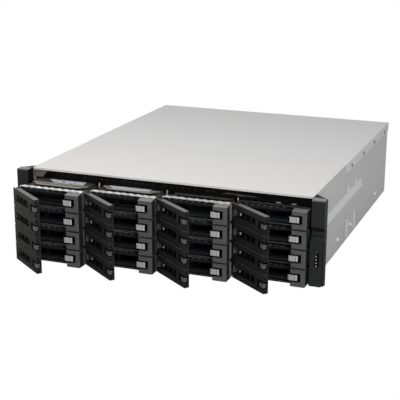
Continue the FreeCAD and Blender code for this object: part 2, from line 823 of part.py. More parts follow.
def tray_drive():
    """A 3.5 inch disk drive: its casting and the raised lid with cut corners."""
    foot = DRIVE_FOOT
    left = s.drive_side_gap
    right = left + s.drive_width
    start, end = s.drive_start, s.drive_start + s.drive_length
    inset, corner = s.drive_lid_inset, s.drive_corner
    drive = Piece("tray_drive")
    drive.add("XY", foot, foot + s.drive_height - s.drive_lid, rectangle((left, right), (start, end)))
    drive.add("XY", foot + s.drive_height - s.drive_lid, foot + s.drive_height, outline(
        (left + inset + corner, start + inset), (right - inset - corner, start + inset),
        (right - inset, start + inset + corner), (right - inset, end - inset),
        (left + inset, end - inset), (left + inset, start + inset + corner),
    ))
    return drive.body


def hinge_pin():
    return rod("hinge_pin", "z", (s.pivot_side, s.pivot_depth, s.lug_height),
               s.pin_radius, BEZEL_HEIGHT - s.lug_height * 2)


def lever():
    """The ladder-shaped lever, about its own hinge axis: X runs to its free end and -Y is its outer face."""
    outer = -s.pivot_depth
    inner = s.lever_depth - s.pivot_depth
    heel = -s.pivot_side - s.heel_overhang
    tip = s.lever_length - s.pivot_side
    window = (s.rail_low, BEZEL_HEIGHT - s.rail_high)
    piece = Piece("lever_master")
    piece.add("XY", 0 * BEZEL_HEIGHT, BEZEL_HEIGHT, outline(
        (heel + s.heel_corner, outer), (tip, outer), (tip, inner), (heel + s.heel_chamfer, inner),
        (heel, inner - s.heel_chamfer), (heel, outer + s.heel_corner),
    ))
    recess = heel + s.recess_side
    piece.cut("XZ", outer, outer + s.recess_depth, rectangle((recess, recess + s.recess_length), window))
    slots = []
    for index in range(SLOTS):
        left = heel + s.slot_first + s.slot_pitch * index
        slots.append(rectangle((left, left + s.slot_width),
                               (s.rail_low + s.slot_low_inset, BEZEL_HEIGHT - s.rail_high - s.slot_high_inset)))
    piece.cut("XZ", outer + s.recess_depth, inner, *slots)
    piece.cut("XZ", outer, inner - s.notch_back,
              rectangle((heel + s.notch_start, tip + s.skin_gauge), (s.notch_low, s.notch_low + s.notch_height)))
    catch = heel + s.catch_start
    piece.add("XZ", outer + s.catch_set_back, inner - s.notch_back, rectangle(
        (catch, catch + s.catch_length), (s.catch_low, s.catch_low + s.catch_height)))
    room = s.lug_height + s.lug_clearance
    lugs = rectangle((heel - s.skin_gauge, s.lug_half + s.lug_side_clearance), (outer + s.skin_gauge, s.lever_depth))
    piece.cut("XY", -room, room, lugs)
    piece.cut("XY", BEZEL_HEIGHT - room, BEZEL_HEIGHT + room, lugs)
    channel = s.pin_radius + s.pin_clearance
    piece.cut("XY", -room, BEZEL_HEIGHT + room, rectangle((-channel, channel), (-channel, channel)))
    return piece.body


def release_button():
    """The ribbed latch button in the block's pocket, which slides to the right against its spring."""
    left_of_block = BEZEL_WIDTH - s.block_width
    left = left_of_block - s.button_left
    right = left_of_block + s.pocket_width - s.button_right
    back = s.pocket_depth - s.button_clearance
    groove = right - s.button_groove
    low = s.pocket_low + s.button_low
    button = Piece("button_master")
    button.add("XY", low, low + s.button_height, outline(
        (left, s.button_bevel), (left + s.button_bevel, 0), (groove - s.button_groove_width, 0),
        (groove - s.button_groove_width, s.button_groove_width), (groove, s.button_groove_width), (groove, 0),
        (right, 0), (right, back), (left, back),
    ))
    return button.body


def fan_wall():
    """Three axial fans side by side between the drives and the supplies: frames, hubs with blades, and struts."""
    side = PANEL_UNDER - FLOOR - s.fan_gap
    pitch = side + s.fan_wall_gauge
    back = s.fan_front + s.fan_depth
    height = FLOOR + side / 2
    frame = Piece("fan_frames")
    span = pitch * 1.5
    frame.add("XZ", s.fan_front, back, rectangle((-span, span), (FLOOR, FLOOR + side)),
              *[polygon(pitch * step, height, s.fan_bore) for step in (-1, 0, 1)])
    parts = [frame.body]
    for step in (-1, 0, 1):
        middle = pitch * step
        strut = s.fan_strut / 2
        reach = s.fan_bore * math.cos(math.pi / SIDES)
        parts.append(fuse(
            f"fan_struts_{step + 2}",
            block(f"strut_level_{step + 2}", (middle - reach, middle + reach),
                  (back - s.fan_strut, back), (height - strut, height + strut)),
            block(f"strut_upright_{step + 2}", (middle - strut, middle + strut),
                  (back - s.fan_strut, back), (height - reach, height + reach)),
        ))
        hub = [prism(f"fan_hub_{step + 2}", TURNS["y"], (middle, s.fan_front + s.fan_set_back, height),
                     SIDES, s.fan_hub, s.fan_depth - s.fan_set_back - s.fan_strut)]
        for index in range(BLADES):
            blade = block(f"fan_blade_{step + 2}_{index}", (0 * s.fan_hub, s.fan_bore - s.fan_tip_gap),
                          (s.fan_set_back, s.fan_depth - s.fan_set_back - s.fan_strut),
                          (0 * s.fan_hub, s.fan_blade_gauge))
            spin = group(f"fan_blade_turn_{step + 2}_{index}", blade)
            spin.Placement = FreeCAD.Placement(Vector(), Rotation(Vector(0, 1, 0), 360 / BLADES * index))
            hub.append(place(spin, middle, s.fan_front, height))
        parts.append(fuse(f"fan_rotor_{step + 2}", *hub))
    return group("fan_wall", *parts)


def supply_master():
    """One hot-swap power supply: mains inlet, fan recess, pull handle and latch tab on its back face."""
    unit = Piece("supply_master")
    face = s.supply_length
    unit.add("XY", 0 * face, s.supply_height, rectangle((0, s.supply_width), (0, face)))
    inlet = (s.inlet_inset, s.inlet_inset + s.inlet_width)
    mid = s.supply_height / 2
    unit.cut("XZ", face - s.inlet_depth, face,
             rectangle(inlet, (mid - s.inlet_height / 2, mid + s.inlet_height / 2)))
    centre = s.inlet_inset + s.inlet_width / 2
    half = s.blade_gauge / 2
    for step, rise in ((-1, 0), (0, 1), (1, 0)):
        across = (centre + s.blade_pitch * step - half, centre + s.blade_pitch * step + half)
        low = mid - s.blade_height + s.blade_height * rise
        unit.add("XZ", face - s.inlet_depth, face - s.inlet_depth + s.blade_length,
                 rectangle(across, (low, low + s.blade_height)))
    fan = s.supply_width - s.grille_radius * 1.3
    unit.cut("XZ", face - s.grille_depth, face, polygon(fan, mid, s.grille_radius))
    grip = (s.handle_inset, s.handle_inset + s.handle_gauge)
    top = s.supply_height - s.handle_drop
    unit.add("YZ", *grip, outline(
        (face, s.handle_drop), (face + s.handle_reach, s.handle_drop), (face + s.handle_reach, top), (face, top),
        (face, top - s.handle_bar), (face + s.handle_reach - s.handle_bar, top - s.handle_bar),
        (face + s.handle_reach - s.handle_bar, s.handle_drop + s.handle_bar), (face, s.handle_drop + s.handle_bar),
    ))
    unit.add("XZ", face, face + s.tab_reach, rectangle(
        (grip[1] + s.handle_gauge / 2, grip[1] + s.handle_gauge / 2 + s.tab_width), (0, s.tab_height)))
    return unit.body


def controller():
    """The input and output module: a folded tray with a face plate, a circuit board and four cable ports."""
    low = FLOOR
    inner = low + s.controller_wall
    top = low + s.controller_height
    front = s.body_length - s.controller_length
    back = s.body_length + s.controller_face
    case = Piece("controller_case")
    case.add("XZ", front, s.body_length, outline(
        (s.controller_left, low), (CONTROLLER_RIGHT, low), (CONTROLLER_RIGHT, top),
        (CONTROLLER_RIGHT - s.controller_wall, top), (CONTROLLER_RIGHT - s.controller_wall, inner),
        (s.controller_left + s.controller_wall, inner), (s.controller_left + s.controller_wall, top),
        (s.controller_left, top),
    ))
    case.cut("XZ", REAR_IN, s.body_length,
             rectangle((s.controller_left - s.controller_wall, CONTROLLER_RIGHT + s.controller_wall), (0, inner)))
    ports = []
    for index in range(PORTS):
        left = s.controller_left + s.controller_flange * 2 + s.port_pitch * index
        ports.append((left, left + s.port_width))
    height = (s.port_low, s.port_low + s.port_height)
    case.add("XZ", s.body_length, back, rectangle(
        (s.controller_left - s.controller_flange, CONTROLLER_RIGHT + s.controller_flange),
        (low, top + s.controller_flange)), *[rectangle(port, height) for port in ports])
    parts = [case.body]
    wall = s.port_wall
    for index, (left, right) in enumerate(ports):
        cage = block(f"port_cage_{index + 1}", (left - wall, right + wall), (s.body_length - s.port_depth, s.body_length),
                     (height[0] - wall, height[1] + wall))
        hollow = block(f"port_hollow_{index + 1}", (left, right),
                       (s.body_length - s.port_depth + wall, s.body_length), height)
        parts.append(cut(f"port_{index + 1}", cage, hollow))
    parts.append(block(
        "controller_board",
        (s.controller_left + s.controller_wall, CONTROLLER_RIGHT - s.controller_wall),
        (front + s.controller_flange, s.body_length - s.controller_face),
        (height[0] - wall - s.circuit_gauge, height[0] - wall),
    ))
    return group("controller", *parts)


def trays():
    """Every tray, its lever and its button: the same three assemblies, set out over the bays."""
    pieces = [tray_front(), tray_gasket(), tray_carrier(), tray_drive(), hinge_pin()]
    lever_body, button_body = lever(), release_button()
    made = []
    for column in range(COLUMNS):
        left = column_middle(column) - BEZEL_WIDTH / 2
        front = -s.closed_front - PULLS[column]
        for row in range(ROWS):
            foot = row_foot(row)
            name = f"column_{column + 1}_row_{row + 1}"
            made.append(place(group(f"tray_{name}", *pieces), left, front, foot))
            swung = group(f"lever_{name}", lever_body)
            swung.Placement = FreeCAD.Placement(Vector(), Rotation(Vector(0, 0, 1), -SIZES["lever_swing"]))
            place(swung, left + s.pivot_side, front + s.pivot_depth, foot)
            bind(swung, "Placement.Rotation.Angle", -s.lever_swing)
            made.append(swung)
            made.append(place(group(f"button_{name}", button_body), left, front, foot))
    return made


def supplies():
    body = supply_master()
    return [
        place(group(f"power_supply_{index + 1}", body), SUPPLY_LEFT, SUPPLY_FRONT, supply_foot(index))
        for index in range(SUPPLIES)
    ]


nodes = [
    chassis_shell(), front_top_panel(), rear_cover(), drive_cage(), backplane(), fan_wall(), controller(),
    ear(-1), ear(1), power_button(), *supplies(), *trays(),
]
doc.recompute()
for item in doc.Objects:
    if {"Invalid", "Error"} & set(item.State):
        raise RuntimeError(f"{item.Name} is {item.State}")
os.makedirs("parts", exist_ok=True)
for node in nodes:
    if node.Shape.isNull() or not node.Shape.isValid():
        raise RuntimeError(f"{node.Label} has no valid shape")
    node.Shape.exportStep(f"parts/{node.Label}.step")
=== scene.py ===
import bpy
import math
from itertools import product
from mathutils import Matrix, Vector


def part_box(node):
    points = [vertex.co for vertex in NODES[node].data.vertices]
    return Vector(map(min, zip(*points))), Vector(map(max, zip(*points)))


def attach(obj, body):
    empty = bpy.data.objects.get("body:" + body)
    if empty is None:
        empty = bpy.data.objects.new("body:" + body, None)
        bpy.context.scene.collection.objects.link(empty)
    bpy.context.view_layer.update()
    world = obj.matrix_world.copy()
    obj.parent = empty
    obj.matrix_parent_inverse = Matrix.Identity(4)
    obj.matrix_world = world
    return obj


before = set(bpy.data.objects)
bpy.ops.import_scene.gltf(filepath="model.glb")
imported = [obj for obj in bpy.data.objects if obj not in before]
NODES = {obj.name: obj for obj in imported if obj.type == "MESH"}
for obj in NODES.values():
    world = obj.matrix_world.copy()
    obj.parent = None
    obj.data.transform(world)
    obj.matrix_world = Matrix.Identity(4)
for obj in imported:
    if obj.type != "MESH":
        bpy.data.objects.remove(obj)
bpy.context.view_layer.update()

# Lengths are in millimetres, but those of materials, lights and the floor are in metres. A tray's own frame has X from
# its left side, Y from the front of its latch block and Z from its foot. A lever's own frame has X from its hinge to
# its free end, -Y outwards and Z from its foot.
MM = 0.001
END = math.inf
COLUMNS, ROWS = 4, 4
BAYS = list(product(range(1, COLUMNS + 1), range(1, ROWS + 1)))
COLUMN_PITCH = 110.0
ROW_PITCH = 28.3
WALL = 221.0
TRAY_WIDTH = 105.0
BLOCK_LEFT = 83.5
PIVOT = (3.6, 5.5)
LEVER_SWING = math.radians(37.8)

# Columns that look different from the others, because each is pulled out by its own length. Light also falls on each
# its
# own way: column 3's side contacts are bright, a painted highlight; column 4's contact strips are dark, a painted
# shade;
# and the lens spot of columns 2 to 4 is a painted reflection.
HOLED_COLUMN, PLATED_COLUMN, RINGED_COLUMN = 1, 2, 3
HIGHLIT_SIDE_COLUMN = 3
SHADED_COLUMN = 4
LENS_COLUMNS = (2, 3, 4)


# Materials. FINE is the grain of a moulding.
NOISE_DETAIL = 3
RAMP_ENDS = (0.3, 0.7)
ROUGH_SPREAD = 0.05
RELIEF = 0.0002
FINE = 0.0008


def add(tree, kind, operation=None, **values):
    """A new node of a tree, with its operation and the values of its sockets. An underscore stands for a space."""
    node = tree.nodes.new(f"ShaderNode{kind}")
    if operation:
        node.operation = operation
    for socket, value in values.items():
        node.inputs[socket.replace("_", " ")].default_value = value
    return node


def surface(name, colour, rough, metal=0.0, grain=0.06, size=0.004, bump=0.0, spec=0.5, stretch=(1, 1, 1)):
    """A painted, moulded or metal finish: its colour and roughness vary a little with a noise of that size."""
    mat = bpy.data.materials.new(name)
    mat.use_nodes = True
    tree = mat.node_tree
    shader = tree.nodes["Principled BSDF"]
    shader.inputs["Metallic"].default_value = metal
    shader.inputs["Specular IOR Level"].default_value = spec
    where = add(tree, "TexCoord")
    spread = add(tree, "Mapping", Scale=stretch)
    noise = add(tree, "TexNoise", Scale=1 / size, Detail=NOISE_DETAIL)
    ramp = add(tree, "ValToRGB")
    for stop, place, factor in zip(ramp.color_ramp.elements, RAMP_ENDS, (1 - grain, 1 + grain)):
        stop.position = place
        stop.color = (*[min(1, c * factor) for c in colour], 1)
    gloss = add(tree, "MapRange", To_Min=max(0, rough - ROUGH_SPREAD), To_Max=min(1, rough + ROUGH_SPREAD))
    link = tree.links.new
    link(where.outputs["Object"], spread.inputs["Vector"])
    link(spread.outputs["Vector"], noise.inputs["Vector"])
    link(noise.outputs["Fac"], ramp.inputs["Fac"])
    link(noise.outputs["Fac"], gloss.inputs["Value"])
    link(ramp.outputs["Color"], shader.inputs["Base Color"])
    link(gloss.outputs["Result"], shader.inputs["Roughness"])
    if bump:
        relief = add(tree, "Bump", Strength=bump, Distance=RELIEF)
        link(noise.outputs["Fac"], relief.inputs["Height"])
        link(relief.outputs["Normal"], shader.inputs["Normal"])
    return mat


def grey(level, warm=0.0):
    """A linear grey from an sRGB level of 0 to 255, a little warmer or cooler."""
    c = level / 255
    c = c / 12.92 if c <= 0.04045 else ((c + 0.055) / 1.055) ** 2.4
    return (c * (1 + warm), c, c * (1 - warm))


# Chassis, top and cage
SHELL = surface("shell_paint", grey(190), 0.5, grain=0.02, size=0.0012, bump=0.05, spec=0.4)
# Upward slopes of the side ribs: a lighter copy of the shell paint, a painted highlight.
RIB_HIGHLIGHT = surface("rib_highlight", grey(214), 0.45, grain=0.02, size=0.0012, bump=0.05)
# Beads and studs on the sides: near white, a painted highlight.
BEAD_HIGHLIGHT = surface("bead_highlight", grey(250), 0.4, grain=0.02)
TOP = surface("top_paint", grey(214, 0.012), 0.55, grain=0.012, size=0.0015, bump=0.04, spec=0.3)
COVER = surface("cover_paint", grey(214, 0.004), 0.55, grain=0.012, size=0.0015, bump=0.04, spec=0.3)
SCREW = surface("screw_zinc", grey(105), 0.4, metal=0.3)
# The seam of the top: a light strip, a painted highlight on the cover's front edge, and a grey strip, a painted shadow
# in the gap.
SEAM_HIGHLIGHT = surface("seam_highlight", grey(226, 0.01), 0.5, grain=0.02)
SEAM_SHADOW = surface("seam_gap", grey(150), 0.6, grain=0.05)
GUSSET = surface("gusset_zinc", grey(104, 0.06), 0.5, grain=0.03, spec=0.3)
# The cage and the shell's inner sides: zinc darkened as a painted shade inside the chassis; its front edges much
# lighter, a painted highlight.
CAGE_SHADED = surface("cage_zinc_shaded", grey(60, 0.08), 0.5, grain=0.2, size=0.006, spec=0.3)
CAGE_EDGE_HIGHLIGHT = surface("cage_edge_highlight", grey(215), 0.35, metal=0.3, grain=0.12, size=0.006)
# Shadow black: painted shade in pockets, notches, slots, holes and grooves and on shaded sides; also the cage's black
# top rail.
BLACK = surface("shadow_black", grey(12), 0.7, grain=0.3, size=0.003, spec=0.12)
RAIL_MARK = surface("rail_mark", grey(38, 0.12), 0.6, grain=0.4, size=0.01, spec=0.1)

# Inside and back
BOARD = surface("solder_mask", (0.012, 0.075, 0.04), 0.4)
SOCKET = surface("socket_black", grey(28), 0.45)
FAN = surface("fan_black", grey(26), 0.5)
STEEL = surface("sheet_zinc", grey(190), 0.3, metal=0.9, size=0.005, stretch=(1, 0.1, 1))
SUPPLY = surface("supply_zinc", grey(178), 0.32, metal=0.8, size=0.005)
BRASS = surface("blade_brass", (0.75, 0.55, 0.25), 0.3, metal=1.0)

# Rack ears
EAR = surface("ear_black", grey(42, -0.05), 0.42, grain=0.05, size=FINE, bump=0.05)
# The slopes of the scooped middle: a darker copy of the ear's black, a painted shade.
EAR_SHADE = surface("ear_shade", grey(25, -0.06), 0.5, grain=0.05, size=FINE, spec=0.2)
EAR_SIDE = surface("ear_side", grey(50), 0.6, grain=0.05, size=FINE, spec=0.1)
# The top of the ear: a much lighter copy of the ear's black, a painted highlight.
EAR_TOP_HIGHLIGHT = surface("ear_top_highlight", grey(104, 0.02), 0.4, grain=0.05, size=FINE, spec=0.6)
EAR_METAL = surface("ear_flange_black", grey(30, 0.1), 0.6, spec=0.08)
LAMP = surface("lamp_lens", grey(170), 0.25)
POWER = surface("power_grey", grey(56, 0.06), 0.4, spec=0.3)

# Trays and their drives
CHROME = surface("contact_silver", grey(235, 0.02), 0.3, metal=0.5, grain=0.2, size=0.008, stretch=(1, 3, 1))
# Column 4's contact strips: darkened, a painted shade.
STRIP_SHADE = surface("contact_shaded", grey(44, 0.04), 0.6, grain=0.3, size=0.006, spec=0.12)
DULL = surface("contact_dull", grey(150, 0.04), 0.4, metal=0.4, grain=0.3, size=0.005)
# The latch block's top and right side: a lighter and a darker copy of the moulding, a painted highlight and a painted
# shade.
MOULD_TOP_HIGHLIGHT = surface("tray_mould_top_highlight", grey(100), 0.38, size=FINE, spec=1.0)
MOULD_SIDE_SHADE = surface("tray_mould_side_shade", grey(42, -0.03), 0.6, size=FINE, spec=0.12)
MOULD = surface("tray_mould", grey(88), 0.48, size=FINE, bump=0.06)
SHADE = surface("tray_shade", grey(17, -0.05), 0.5, grain=0.4, spec=0.1)
BAND = surface("tray_band", grey(38, -0.14), 0.45, grain=0.3, size=0.006, spec=0.25)
LATTICE = surface("tray_lattice", grey(72), 0.5, grain=0.4, size=0.006, spec=0.2)
LEDGE = surface("tray_ledge", grey(80, 0.14), 0.5, grain=0.3, size=0.008, spec=0.3)
TICK = surface("tray_tick", grey(96), 0.45)
CARRIER = surface("carrier_zinc", grey(150), 0.35, metal=0.7)
CASTING = surface("drive_casting", grey(60, 0.06), 0.45, metal=0.2, grain=0.2, size=0.006, bump=0.1)
BROWN = surface("brown_plate", grey(140, 0.08), 0.45, metal=0.3, grain=0.3, stretch=(0.3, 1.5, 1))
PLATE = surface("drive_plate", grey(205, -0.05), 0.35, metal=0.2, size=0.006)
RING = surface("drive_ring", grey(110), 0.4, metal=0.5, grain=0.1)
PIN = surface("pin_steel", grey(190), 0.25, metal=1.0)

# Levers and release buttons
LEVER = surface("lever_mould", grey(35, 0.01), 0.5, size=FINE, bump=0.06, spec=0.25)
# The lever's top: a lighter copy of the lever moulding, a painted highlight, with a streaked grain.
LEVER_TOP_HIGHLIGHT = surface("lever_top_highlight", grey(100, -0.02), 0.5, grain=0.25, size=0.0012, stretch=(1, 0.03, 0.03))
# The back of the lever's recess and the catch's dark strips: darkened, a painted shade.
LEVER_SHADE = surface("lever_floor_shade", grey(15, -0.06), 0.5, grain=0.1, spec=0.1)
LEVER_RIB = surface("lever_rib", grey(70), 0.45, grain=0.1, spec=0.3)
# The left wall of the lever's recess: a lighter copy of the moulding, a painted highlight.
FACET_HIGHLIGHT = surface("lever_facet_highlight", grey(104, 0.02), 0.5, grain=0.15, size=0.003)
# The light pipe's lens: near white, a painted reflection.
LENS_REFLECTION = surface("lever_lens_reflection", grey(245), 0.3, grain=0.05)
CATCH = surface("catch_grey", grey(88), 0.45, grain=0.1, size=0.002)
CATCH_EDGE = surface("catch_edge", grey(118), 0.35, grain=0.05, size=0.002)
BUTTON = surface("button_grey", grey(180), 0.42, grain=0.05, size=FINE, bump=0.04)
BUTTON_EDGE = surface("button_edge", grey(200), 0.4, grain=0.05, size=FINE, bump=0.04)


# Dressing the model's own nodes. A face is dressed by its place, its normal and the size of its solid. It faces an
# axis when its normal's share along that axis is more than FACING, and leans that way from LEANING on.
PLACE_DIGITS = 6
BEVEL_SEGMENTS = 2
BEVEL_ANGLE = math.radians(40)
FACING, LEANING = 0.9, 0.5


def islands(mesh):
    """The polygons of each separate solid of a mesh, as lists of indices. Vertices at one place count as one."""
    seen = {}
    parent = [seen.setdefault(tuple(round(c, PLACE_DIGITS) for c in v.co), v.index) for v in mesh.vertices]

    def root(v):
        while parent[v] != v:
            parent[v] = parent[parent[v]]
            v = parent[v]
        return v

    for poly in mesh.polygons:
        first = root(poly.vertices[0])
        for v in poly.vertices[1:]:
            parent[root(v)] = first
    found = {}
    for poly in mesh.polygons:
        found.setdefault(root(poly.vertices[0]), []).append(poly.index)
    return list(found.values())


def dress(node, choose, bevel=0.0, local=Matrix()):
    """Gives each face of a node the material that choose(place, normal, size of its solid) returns, in the local frame
    and in millimetres, and rounds the edges a little."""
    obj = NODES[node]
    mesh = obj.data
    mesh.materials.clear()
    inward = local.inverted()
    turn = inward.to_3x3()
    slots = {}
    for polys in islands(mesh):
        points = [mesh.vertices[v].co for p in polys for v in mesh.polygons[p].vertices]
        size = [(max(q[i] for q in points) - min(q[i] for q in points)) / MM for i in range(3)]
        for p in polys:
            poly = mesh.polygons[p]
            mat = choose(inward @ (poly.center / MM), turn @ poly.normal, size)
            if mat.name not in slots:
                slots[mat.name] = len(mesh.materials)
                mesh.materials.append(mat)
            poly.material_index = slots[mat.name]
    if bevel:
        round_edges = obj.modifiers.new("edges", "BEVEL")
        round_edges.width = bevel * MM
        round_edges.segments = BEVEL_SEGMENTS
        round_edges.limit_method = "ANGLE"
        round_edges.angle_limit = BEVEL_ANGLE
        round_edges.harden_normals = True


def within(at, zone):
    """Whether a place lies in a zone: a range each for X, Y and Z, or None where any value will do."""
    return all(ends is None or ends[0] < v < ends[1] for v, ends in zip(at, zone))


def all_of(mat):
    """A chooser that gives every face one material."""
    return lambda at, normal, size: mat


PRESSED = 0.02
INNER_DEPTH = 0.5
RIB_ZONE = (None, (-END, 316), (55, 80))
FRONT_EDGE_ZONE = (None, (-END, 1), (3, END))
GUSSET_ZONE = (None, (-END, 3), (100, END))


def shell_face(at, normal, size):
    """Outside: the ribs, whose upward slopes are lighter, a painted highlight, and the beads and studs, near white, a
    painted highlight. The front edge and the left gusset in zinc, the right gusset in shadow black, a painted shadow,
    and the inner sides in the cage's darkened colour, a painted shade.
    """
    out = abs(at.x) - WALL
    if out > PRESSED:
        # Upward rib slopes are lighter and beads and studs near white: painted highlights.
        if within(at, RIB_ZONE):
            return RIB_HIGHLIGHT if normal.z > PRESSED else SHELL
        return BEAD_HIGHLIGHT
    if normal.y < -FACING and within(at, FRONT_EDGE_ZONE):
        return GUSSET
    if abs(normal.y) > FACING and within(at, GUSSET_ZONE):
        # The left gusset keeps its zinc colour; the right one is shadow black, a painted shadow.
        return GUSSET if at.x < 0 else BLACK
    # The inner sides take the cage's darkened zinc: a painted shade.
    return CAGE_SHADED if abs(normal.x) > FACING and out < -INNER_DEPTH else SHELL


COVER_WIDTH = 50


def cover_face(at, normal, size):
    return COVER if size[0] > COVER_WIDTH else SCREW


RAIL_FOOT = 114.5
CAGE_FRONT = 3.5


def cage_face(at, normal, size):
    if at.z > RAIL_FOOT:
        return BLACK
    # The front edges are much lighter, a painted highlight; the rest is darkened zinc, a painted shade.
    return CAGE_EDGE_HIGHLIGHT if normal.y < -FACING and at.y < CAGE_FRONT else CAGE_SHADED


BOARD_WIDTH = 200


def backplane_face(at, normal, size):
    return BOARD if size[0] > BOARD_WIDTH else SOCKET


PORT_WIDTH = 40
PORT_FOOT, PORT_TOP = 12, 21
BOARD_THICK = 2


def controller_face(at, normal, size):
    if size[2] < BOARD_THICK:
        return BOARD
    port = size[0] < PORT_WIDTH and PORT_FOOT <= at.z <= PORT_TOP
    return SOCKET if port and abs(normal.y) < FACING else STEEL


HANDLE_FROM = 528.8
INLET_ZONE = ((-215, -190), (511, 528.2), None)
BLADE_ZONE = ((-211.5, -193.5), (-END, 522), None)
RECESS_ZONE = (None, (520, 528.2), None)


def supply_face(at, normal, size):
    """Both supplies lie above each other, so one set of zones finds the inlet and its blades, and the fan recess."""
    if at.y > HANDLE_FROM:
        return FAN
    if within(at, INLET_ZONE):
        return BRASS if within(at, BLADE_ZONE) and abs(normal.y) < FACING else SOCKET
    return SOCKET if within(at, RECESS_ZONE) else SUPPLY


LAMP_WIDTH = 3
FLANGE_FROM = -0.1
SCOOP_ZONE = (None, None, (66, 97))
SCOOP_NORMAL = (0.2, 0.99)
CAPSULE_ZONE = ((231, 237), (-13.2, -3), (25, 65))
EAR_TOP_FROM = 100


def ear_face(at, normal, size):
    """The lamps and the flange; the slopes of the scooped middle, darker, a painted shade; the capsule recess and the
    inner sides in shadow black, a painted shade; the outer sides a little lighter than the front; and the top of the
    cap much lighter, a painted highlight.
    """
    if size[0] < LAMP_WIDTH:
        return LAMP
    if at.y > FLANGE_FROM:
        return EAR_METAL
    slope = abs(normal.x) < SCOOP_NORMAL[0] and abs(normal.y) < SCOOP_NORMAL[1] and abs(normal.z) < FACING
    if slope and within(at, SCOOP_ZONE):
        return EAR_SHADE
    if within(at, CAPSULE_ZONE):
        return BLACK
    if abs(normal.x) > FACING:
        return BLACK if normal.x * at.x < 0 else EAR_SIDE
    return EAR_TOP_HIGHLIGHT if normal.z > FACING and at.z > EAR_TOP_FROM else EAR


DRIVE_LENGTH, DRIVE_HEIGHT = 140, 20
DRIVE_FRONT = 40
PIN_WIDTH = 10
STRIP_HEIGHT = 2
BLOCK_FROM = BLOCK_LEFT - 0.1
POCKET_ZONE = ((BLOCK_FROM, 98.9), (0.3, 9.7), (6.7, 19.9))
POCKET_FLOOR = 9
BLOCK_TOP_FROM, BLOCK_SIDE_FROM = 24, 104
LUG_ZONE = ((-END, 7), (-END, 9.2), None)
BAND_ZONE = (None, (-END, 10.9), (22, 24.6))


def tray_face(at, normal, size, strip):
    """In the tray's own frame: its drive and carrier, hinge pin, contact strip, latch block, lugs and vented front.
    The drive's faces near the front that don't face up, and the button's pocket, are shadow black, a painted shade; the
    block's top is a lighter copy of the moulding, a painted highlight, and its right side a darker one, a painted
    shade;
    the vented front is in the tray shade colour, a painted shade.
    """
    if size[1] > DRIVE_LENGTH:
        if size[2] < DRIVE_HEIGHT:
            return CARRIER
        # The drive's faces near the front that don't face up: shadow black, a painted shade.
        return CASTING if normal.z > LEANING or at.y > DRIVE_FRONT else BLACK
    if size[0] < PIN_WIDTH:
        return PIN
    if size[2] < STRIP_HEIGHT:
        return strip
    if at.x > BLOCK_FROM:
        # The button's pocket: shadow black, a painted shade.
        if within(at, POCKET_ZONE) and (normal.y > -FACING or at.y > POCKET_FLOOR):
            return BLACK
        # The block's top lighter, a painted highlight, and its right side darker, a painted shade.
        if normal.z > FACING and at.z > BLOCK_TOP_FROM:
            return MOULD_TOP_HIGHLIGHT
        return MOULD_SIDE_SHADE if normal.x > FACING and at.x > BLOCK_SIDE_FROM else MOULD
    if within(at, LUG_ZONE):
        return LEVER
    return BAND if within(at, BAND_ZONE) else SHADE


CATCH_ZONE = ((60.4, 72.2), (-END, 0.2), (7.9, 14.8))
NOTCH_ZONE = ((58, 73.9), (-5.4, END), (6.5, 18.3))
SLOTS_ZONE = ((-2.6, 51.5), (-5.4, 2.1), (8.3, 19.1))
FACET_TO = -2
LEVER_TOP_FROM = 26


def lever_face(at, normal, size):
    """In the lever's own frame: its catch; the notch around it, in shadow black, a painted shade; the recess with the
    slots, whose back is darkened and whose other faces are shadow black, painted shade, and whose left wall is lighter,
    a painted highlight; and its top, lighter than the rest, a painted highlight.
    """
    if within(at, CATCH_ZONE):
        return CATCH if normal.y < -LEANING or normal.x > LEANING else LEVER
    if within(at, NOTCH_ZONE):
        # The notch around the catch: shadow black, a painted shade.
        return BLACK
    if within(at, SLOTS_ZONE):
        if normal.x > FACING and at.x < FACET_TO:
            return FACET_HIGHLIGHT
        return LEVER_SHADE if normal.y < -FACING else BLACK
    return LEVER_TOP_HIGHLIGHT if normal.z > FACING and at.z > LEVER_TOP_FROM else LEVER


BUTTON_FACING = -0.3
BUTTON_EDGE_FROM = 91.2


def button_face(at, normal, size):
    """In the tray's own frame: the front, which is lighter at its right end, and the sides, in shadow black, a painted
    shade.
    """
    if normal.y > BUTTON_FACING:
        return BLACK
    return BUTTON_EDGE if at.x > BUTTON_EDGE_FROM else BUTTON


def tag_of(column, row):
    return f"column_{column}_row_{row}"


def tray_frame(column, row):
    """The tray's own frame in millimetres."""
    return Matrix.Translation(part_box(f"tray_{tag_of(column, row)}")[0] / MM)


def lever_frame(column, row):
    """The open lever's own frame in millimetres, on its hinge."""
    return tray_frame(column, row) @ Matrix.Translation((*PIVOT, 0)) @ Matrix.Rotation(-LEVER_SWING, 4, "Z")


for node, choose, bevel in (
        ("chassis_shell", shell_face, 0.3), ("front_top_panel", all_of(TOP), 0.8), ("rear_cover", cover_face, 0.8),
        ("drive_cage", cage_face, 0), ("backplane", backplane_face, 0), ("fan_wall", all_of(FAN), 0),
        ("controller", controller_face, 0.2), ("left_ear", ear_face, 0.35), ("right_ear", ear_face, 0.35),
        ("power_button", all_of(POWER), 0.2), ("power_supply_1", supply_face, 0.3),
        ("power_supply_2", supply_face, 0.3)):
    dress(node, choose, bevel)
for column, row in BAYS:
    tag, tray = tag_of(column, row), tray_frame(column, row)
    # Column 4's contact strips are darkened: a painted shade.
    strip = STRIP_SHADE if column == SHADED_COLUMN else CHROME
    dress(f"tray_{tag}", lambda at, normal, size: tray_face(at, normal, size, strip), 0.25, tray)
    dress(f"lever_{tag}", lever_face, 0.3, lever_frame(column, row))
    dress(f"button_{tag}", button_face, 0.2, tray)


# Added detail
BLOCK_FACES = ((0, 1, 3, 2), (4, 6, 7, 5), (0, 4, 5, 1), (2, 3, 7, 6), (0, 2, 6, 4), (1, 5, 7, 3))


